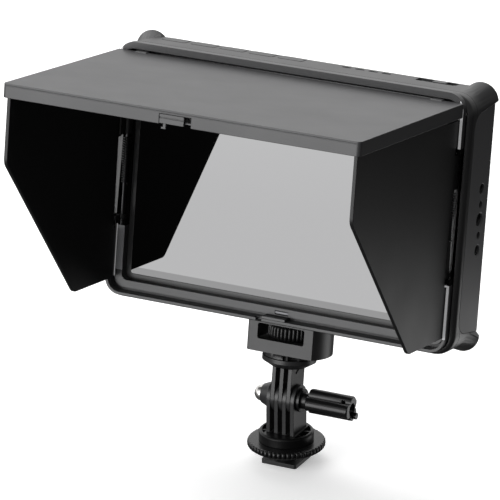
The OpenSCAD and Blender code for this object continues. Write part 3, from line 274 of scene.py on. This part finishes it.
# %% Screen finish
def screen(name, tone_above, tone_below, edge_z):
    finish = Finish(name)
    height = finish.node("ShaderNodeSeparateXYZ", {}, {"Vector": finish.place()}, out=2)
    below = height < edge_z
    clouds = finish.noise(60, detail=1.0)
    tone = finish.mix(below, grey(tone_above, 0.01), grey(tone_below, 0.01))
    return finish.surface(Base_Color=tone, Metallic=1.0, Roughness=0.012 + 0.006 * clouds)


screen_grey = screen("screen_grey", 0.115, 0.075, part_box("screen_glass")[0].z + 0.0035)
board_green = moulded("board_green", 0.05, 0.3, 1.0, 0.01)

# %% Put the finishes on the CAD nodes
finishes = {
    "rear_housing": housing_black, "front_bezel": housing_black, "hood_frame": frame_black,
    "hood_lid": hood_black, "lid_latch": hood_black, "flap_left": flap_black,
    "flap_right": flap_black, "side_plate_right": plate_black,
    "side_plate_left": plate_black, "battery_plate": housing_black,
    "battery_release": key_black, "power_switch": key_black, "screen_glass": screen_grey,
    "lcd_panel": screen_grey, "main_board": board_green, "button_board": board_green,
    "mount_block": mount_black, "block_wheel": ring_black, "upper_fingers": mount_black,
    "lower_fingers": mount_black, "lock_ring": ring_black, "shoe_foot": mount_black,
    "clamp_handle": ring_black, "clamp_screw": bright_steel, "clamp_nut": bright_steel,
    "swivel_screw": bright_steel, "housing_screws": bright_steel, "lid_pins": bright_steel,
    "catch_spring_bar": dark_steel, "rod_left": spring_steel, "rod_right": spring_steel,
    "spring_left": spring_steel, "spring_right": spring_steel,
    "bottom_insert": contact_brass, "battery_contacts": contact_brass,
    "side_sockets": bright_steel,
}
finishes.update({f"button_{i}": key_black for i in range(1, 6)})
for name, material in finishes.items():
    mesh = frame["nodes"][name].data
    mesh.materials.clear()
    mesh.materials.append(material)
print(len(finishes), "nodes have a finish of", len(frame["nodes"]))

# %% [markdown]
# ## Rounded edges
# A moulded or machined edge is never sharp: it has a small radius that catches a thin
# line of light. Every solid with a finish, but the lock ring and the thumb wheel, is copied,
# its flat triangles are joined, and its curved faces are shaded smooth. The nine named in
# bevels_mm also get a real bevel on their sharp edges. The copy stands for the solid, which
# stays as it is for the physics.

# %% A piece that stands for a CAD node
def stand_for(piece, node):
    """Shows the piece in place of the node, on the node's body, with even shading on flat faces."""
    flat_first = piece.modifiers.new("flat_first", "WEIGHTED_NORMAL")
    flat_first.keep_sharp = True
    bpy.context.scene.collection.objects.link(piece)
    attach(piece, body_of(frame["nodes"][node])[0])
    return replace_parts(piece, node)


# %% Copies with rounded edges
def rounded(node, radius_mm=0.0, sharp_degrees=32):
    """A copy of a CAD node with smooth curved faces, and bevelled sharp edges when radius_mm is given."""
    mesh = frame["nodes"][node].data.copy()
    form = bmesh.new()
    form.from_mesh(mesh)
    bmesh.ops.remove_doubles(form, verts=form.verts, dist=1e-6)
    bmesh.ops.dissolve_limit(form, angle_limit=math.radians(0.4), verts=form.verts, edges=form.edges)
    if radius_mm:
        sharp = [e for e in form.edges
                 if len(e.link_faces) == 2 and e.calc_face_angle() > math.radians(sharp_degrees)]
        bmesh.ops.bevel(form, geom=sharp, offset=radius_mm / 1000, offset_type="OFFSET", segments=2,
                        profile=0.5, affect="EDGES", clamp_overlap=False)
    form.to_mesh(mesh)
    form.free()
    mesh.shade_smooth()
    mesh.set_sharp_from_angle(angle=math.radians(sharp_degrees))
    return stand_for(bpy.data.objects.new(node + "_rounded", mesh), node)


monitor_up = Vector((0, math.sin(math.radians(9)), math.cos(math.radians(9))))


def split_at(mesh, heights_mm, up=monitor_up):
    """Cuts a mesh's faces at these distances along a direction, so that a band can differ."""
    form = bmesh.new()
    form.from_mesh(mesh)
    for height in heights_mm:
        bmesh.ops.bisect_plane(form, geom=form.verts[:] + form.edges[:] + form.faces[:],
                               dist=1e-7, plane_co=up * height / 1000, plane_no=up)
    form.to_mesh(mesh)
    form.free()


bevels_mm = {"rear_housing": 0.12, "front_bezel": 0.25, "hood_frame": 0.12, "hood_lid": 0.25,
             "flap_left": 0.25, "flap_right": 0.25, "upper_fingers": 0.15,
             "lower_fingers": 0.2, "side_plate_right": 0.2}
for name in finishes:
    if name in ("lock_ring", "block_wheel"):
        continue
    before = len(frame["nodes"][name].data.polygons)
    piece = rounded(name, bevels_mm.get(name, 0.0))
    print(name, "faces:", before, "->", len(piece.data.polygons))

# %% [markdown]
# ## Knurled ring and thumb wheel
# Both are turned parts with round ribs that a finger can grip. A lathe turns a profile
# round an axis; here the radius also swells and shrinks with the angle, so that each rib
# is a half circle. The rib's share grows along the profile from 0 on the flat faces to 1
# on the rim, which gives the ribs their rounded ends.

# %% A lathe that cuts ribs
def ribbed(name, node, profile_mm, origin, axis, ribs, depth_mm, steps=8):
    """Turns (radius, height, rib share) points round an axis. It stands for the node."""
    turn_to_axis = Vector((0, 0, 1)).rotation_difference(axis).to_matrix().to_4x4()
    place = Matrix.Translation(origin) @ turn_to_axis
    form = bmesh.new()
    rows = []
    for step in range(ribs * steps):
        angle = 2 * math.pi * step / (ribs * steps)
        across = 2 * (step % steps) / steps - 1
        hollow = depth_mm * (1 - math.sqrt(1 - across * across))
        row = []
        for radius, height, share in profile_mm:
            r = max(radius - share * hollow, 0) / 1000
            row.append(form.verts.new(place @ Vector((r * math.cos(angle), r * math.sin(angle),
                                                      height / 1000))))
        rows.append(row)
    for a, b in zip(rows, rows[1:] + rows[:1]):
        for i in range(len(profile_mm)):
            j = (i + 1) % len(profile_mm)
            form.faces.new((a[i], b[i], b[j], a[j]))
    bmesh.ops.remove_doubles(form, verts=form.verts, dist=1e-6)
    bmesh.ops.delete(form, geom=[e for e in form.edges if not e.link_faces], context="EDGES")
    bmesh.ops.recalc_face_normals(form, faces=form.faces)
    mesh = bpy.data.meshes.new(name)
    form.to_mesh(mesh)
    form.free()
    mesh.shade_smooth()
    mesh.set_sharp_from_angle(angle=math.radians(50))
    mesh.materials.append(finishes[node])
    print(name, "ribs:", ribs, "faces:", len(mesh.polygons))
    return stand_for(bpy.data.objects.new(name, mesh), node)


def turned_sizes(node, origin, axis, rim_share):
    """Heights and radii in mm of a round CAD node: its whole length, its rim and its bore."""
    points = [v.co - origin for v in frame["nodes"][node].data.vertices]
    heights = [p.dot(axis) * 1000 for p in points]
    radii = [(p - p.dot(axis) * axis).length * 1000 for p in points]
    rim = [h for h, r in zip(heights, radii) if r > rim_share * max(radii)]
    return max(radii), min(radii), min(rim), max(rim), max(heights)


# %% Lock ring
ring_r, ring_bore, ring_low, ring_high, _ = turned_sizes("lock_ring", Vector((0, 0, 0)),
                                                         Vector((0, 0, 1)), 0.3)
cone_foot, cone_top = ring_r - 6.6, ring_low + 0.5 * (ring_high - ring_low)
ring_profile = [(ring_bore, ring_low + 0.8, 0), (cone_foot - 1, ring_low + 0.8, 0),
                (cone_foot - 1, ring_low, 0), (cone_foot, ring_low, 0),
                (ring_r - 2.6, cone_top - 1.6, 0.1), (ring_r - 0.9, cone_top - 0.5, 0.9),
                (ring_r - 0.2, cone_top + 0.1, 1), (ring_r, cone_top + 0.8, 1),
                (ring_r - 0.1, ring_high - 0.7, 1), (ring_r - 0.6, ring_high - 0.15, 0.6),
                (ring_r - 1.5, ring_high, 0), (ring_bore, ring_high, 0)]
ribbed("lock_ring_knurled", "lock_ring", ring_profile, Vector((0, 0, 0)), Vector((0, 0, 1)), 50, 0.9)

# %% Thumb wheel
pivot = Vector((0, 0, 0.0329))
wheel_r, _, wheel_low, wheel_high, screw_top = turned_sizes("block_wheel", pivot, monitor_up, 0.7)
screw_r = 3.0
wheel_profile = [(0, wheel_low, 0), (wheel_r - 1.6, wheel_low, 0), (wheel_r - 0.7, wheel_low + 0.3, 0.5),
                 (wheel_r - 0.2, wheel_low + 1.1, 1), (wheel_r, wheel_low + 2.2, 1),
                 (wheel_r, wheel_high - 2.2, 1), (wheel_r - 0.2, wheel_high - 1.1, 1),
                 (wheel_r - 0.7, wheel_high - 0.3, 0.5), (wheel_r - 1.6, wheel_high, 0),
                 (screw_r, wheel_high, 0), (screw_r, screw_top, 0), (0, screw_top, 0)]
ribbed("block_wheel_ribbed", "block_wheel", wheel_profile, pivot, monitor_up, 34, 1.1)

# %% [markdown]
# ## Threads
# The three larger holes in the right side are tapped. The solid has plain bores, because a
# thread has far more faces than it is worth there. Here each bore gets a real helix: a
# small triangle is swept round the hole's axis and climbs by one pitch in each turn.

# %% Tapped holes
def thread(name, origin, radius_mm, length_mm, pitch_mm, depth_mm, steps=24):
    """A right-hand thread along +X whose triangle points to the hole's axis."""
    form = bmesh.new()
    rows = []
    for step in range(int(length_mm / pitch_mm * steps) + 1):
        angle, along = 2 * math.pi * step / steps, pitch_mm * step / steps - length_mm / 2
        row = []
        for radius, shift in ((radius_mm + 0.05, -0.42), (radius_mm - depth_mm, 0), (radius_mm + 0.05, 0.42)):
            point = Vector((along + shift * pitch_mm, radius * math.cos(angle), radius * math.sin(angle)))
            row.append(form.verts.new(origin + point / 1000))
        rows.append(row)
    for a, b in zip(rows, rows[1:]):
        for i in range(3):
            form.faces.new((a[i], a[(i + 1) % 3], b[(i + 1) % 3], b[i]))
    form.faces.new(rows[0])
    form.faces.new(rows[-1][::-1])
    bmesh.ops.recalc_face_normals(form, faces=form.faces)
    mesh = bpy.data.meshes.new(name)
    form.to_mesh(mesh)
    form.free()
    mesh.materials.append(ring_black)
    piece = bpy.data.objects.new(name, mesh)
    bpy.context.scene.collection.objects.link(piece)
    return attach(piece, "monitor")


for mount in frame["record"]["mounts"]:
    if mount["kind"] == "threaded_hole":
        bore, deep = mount["dims"]["r_mm"], mount["dims"]["length_mm"]
        inward = Vector(mount["pos_m"]) - Vector((0.0001, 0, 0))
        thread(mount["name"] + "_tapped", inward, bore, deep - 1.0, 1.27 if bore > 3 else 0.8,
               0.45 if bore > 3 else 0.35)
        print(mount["name"], "bore radius:", bore, "thread length:", round(deep - 1.0, 2))

# %% [markdown]
# ## Spring pockets
# Behind each spring the frame has a deep pocket for the hinge rod. The pocket lies in the
# flap's shadow, so its faces get a near-black, rough finish that is painted shade. The ridge
# below it gets a pale finish that is painted light, so that it looks lit. Above and below the
# pocket, the frame's faces behind the slit between flap and frame get a pale finish that also
# glows faintly: a painted highlight for the lit ridge seen through the slit. All three are
# bands of the frame's own faces, which is cut at their ends and given three more finishes.

# %% Pockets and slits of the hood frame
# Painted shade: a near-black, rough finish for the pocket's faces, which lie in the flap's shadow.
pocket_painted_shade = moulded("pocket_painted_shade", 0.002, 0.75, 0.5, 0.02, shine=0.1)
# Painted highlight: a pale finish that also glows faintly, though the frame is no lamp; it stands for the lit
# ridge seen through the slit.
slit_painted_highlight = moulded("slit_painted_highlight", 0.55, 0.45, 0.3, 0.004)
slit_painted_highlight.node_tree.nodes["Principled BSDF"].inputs["Emission Color"].default_value = (1, 1, 1, 1)
slit_painted_highlight.node_tree.nodes["Principled BSDF"].inputs["Emission Strength"].default_value = 0.19
rod_ends = [Vector(corner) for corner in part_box("rod_right")]
pocket_low, pocket_high = [corner.dot(monitor_up) * 1000 for corner in rod_ends]
pocket_x = rod_ends[0].x * 1000 - 3.2
flap_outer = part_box("flap_right")[1].x * 1000 - 0.2
frame_foot = pocket_low - 26
hood_frame = bpy.data.objects["hood_frame_rounded"]
split_at(hood_frame.data, (pocket_low, pocket_high, frame_foot))
split_at(hood_frame.data, (-flap_outer, flap_outer), Vector((1, 0, 0)))
hood_frame.data.materials.append(pocket_painted_shade)
hood_frame.data.materials.append(slit_painted_highlight)
# Painted light: a pale copy of the frame's finish that makes the ridge below the pocket look lit.
ridge_painted_light = moulded("ridge_painted_light", 0.32, 0.40, 0.3, 0.004)
hood_frame.data.materials.append(ridge_painted_light)
monitor_back = Vector((0, math.cos(math.radians(9)), -math.sin(math.radians(9))))
ridge_front, ridge_foot = -24.0, pocket_low - 22
split_at(hood_frame.data, (ridge_foot,))
# The loop gives the pocket's faces the painted shade, the faces behind the slit the painted highlight, and
# the ridge below the pocket the painted light.
dark = pale = lit = 0
for face in hood_frame.data.polygons:
    height = face.center.dot(monitor_up) * 1000
    outward = abs(face.center.x) * 1000
    if pocket_low < height < pocket_high and outward > pocket_x:
        face.material_index = 1
        dark += 1
    elif height > frame_foot and outward > flap_outer and face.normal.y < -0.9:
        face.material_index = 2
        pale += 1
    elif (ridge_foot < height < pocket_low and outward > pocket_x and face.normal.y < -0.9
          and face.center.dot(monitor_back) * 1000 < ridge_front):
        face.material_index = 3
        lit += 1
print("black pocket faces:", dark, "pale slit faces:", pale, "lit ridge faces:", lit)

# %% [markdown]
# ## Base of the mount
# The round base below the fingers is turned and polished darker than the milled fingers.
# It is one part with them, so only its faces get the darker finish.

# %% Dark base
base_black = anodised("base_black", 0.004, 0.30, shine=0.25)
base_top = 17.3
lower_fingers = bpy.data.objects["lower_fingers_rounded"]
lower_fingers.data.materials.append(base_black)
for face in lower_fingers.data.polygons:
    if face.center.z * 1000 < base_top:
        face.material_index = 1

# %% [markdown]
# ## Studio
# The product stands on white paper. Black plastic has almost no colour of its own, so it
# shows the studio instead: a large lamp in front on the left fills the faces that look
# to the front, the white wall behind fills the top faces at a flat angle, and the dark
# right side of the room keeps the faces on the right black. The room is a gradient in
# the world. The paper is only seen by the camera, so that it doesn't light the plastic.

# %% Floor and world
floor_mesh = bpy.data.meshes.new("studio_floor")
floor_mesh.from_pydata([(-6, -6, 0), (6, -6, 0), (6, 6, 0), (-6, 6, 0)], [], [(0, 1, 2, 3)])
studio_floor = bpy.data.objects.new("studio_floor", floor_mesh)
bpy.context.scene.collection.objects.link(studio_floor)
studio_paper = Finish("studio_paper")
fibres = studio_paper.noise(3)
studio_paper.surface(Base_Color=studio_paper.mix(fibres, (0.93, 0.93, 0.93, 1), (0.96, 0.96, 0.96, 1)),
                     Roughness=0.9, Emission_Color=(1, 1, 1, 1), Emission_Strength=0.35)
floor_mesh.materials.append(studio_paper.material)
studio_floor.visible_glossy = False
studio_floor.visible_diffuse = False
studio_floor.visible_shadow = False

world = bpy.data.worlds.new("studio_world")
world.use_nodes = True
bpy.context.scene.world = world
room = Finish.__new__(Finish)
room.tree = world.node_tree
direction = room.node("ShaderNodeTexCoord", out=0)
rightward = room.node("ShaderNodeSeparateXYZ", {}, {"Vector": direction}, out=0)
upward = room.node("ShaderNodeSeparateXYZ", {}, {"Vector": direction}, out=2)
stops = [(0.0, 0.05), (0.46, 0.08), (0.50, 0.80), (0.56, 1.0), (0.70, 0.85), (1.0, 0.7)]
ramp = world.node_tree.nodes.new("ShaderNodeValToRGB")
while len(ramp.color_ramp.elements) < len(stops):
    ramp.color_ramp.elements.new(0.5)
for stop, (place, level) in zip(ramp.color_ramp.elements, stops):
    stop.position, stop.color = place, (level, level, level, 1)
put(world.node_tree, ramp.inputs[0], 0.5 * upward + 0.5)
world.node_tree.links.new(ramp.outputs[0], world.node_tree.nodes["Background"].inputs["Color"])
dark_side = room.node("ShaderNodeMapRange", {"interpolation_type": "SMOOTHSTEP"},
                      {"Value": rightward, "From Min": -0.05, "From Max": 0.35,
                       "To Min": 1.35, "To Max": 0.30})
put(world.node_tree, world.node_tree.nodes["Background"].inputs["Strength"], dark_side)

# %% Lamps
def soft_lamp(name, place, target, size, power):
    lamp = bpy.data.lights.new(name, "AREA")
    lamp.shape, lamp.size, lamp.size_y, lamp.energy = "RECTANGLE", size[0], size[1], power
    holder = bpy.data.objects.new(name, lamp)
    holder.location = place
    holder.rotation_euler = (Vector(target) - Vector(place)).to_track_quat("-Z", "Y").to_euler()
    holder.visible_camera = False
    bpy.context.scene.collection.objects.link(holder)
    print(name, "radiance:", round(power / (math.pi * size[0] * size[1]), 2))


soft_lamp("front_lamp", (-0.65, -1.6, 0.25), (0, 0, 0.12), (1.3, 1.2), 20)
soft_lamp("top_lamp", (-0.8, 0.2, 2.2), (0, 0, 0), (2.4, 2.4), 30)
soft_lamp("low_lamp", (0.18, 0.17, -0.04), (0.09, 0.0, 0.09), (0.14, 0.12), 0.09)
bpy.context.scene.view_settings.view_transform = "Standard"
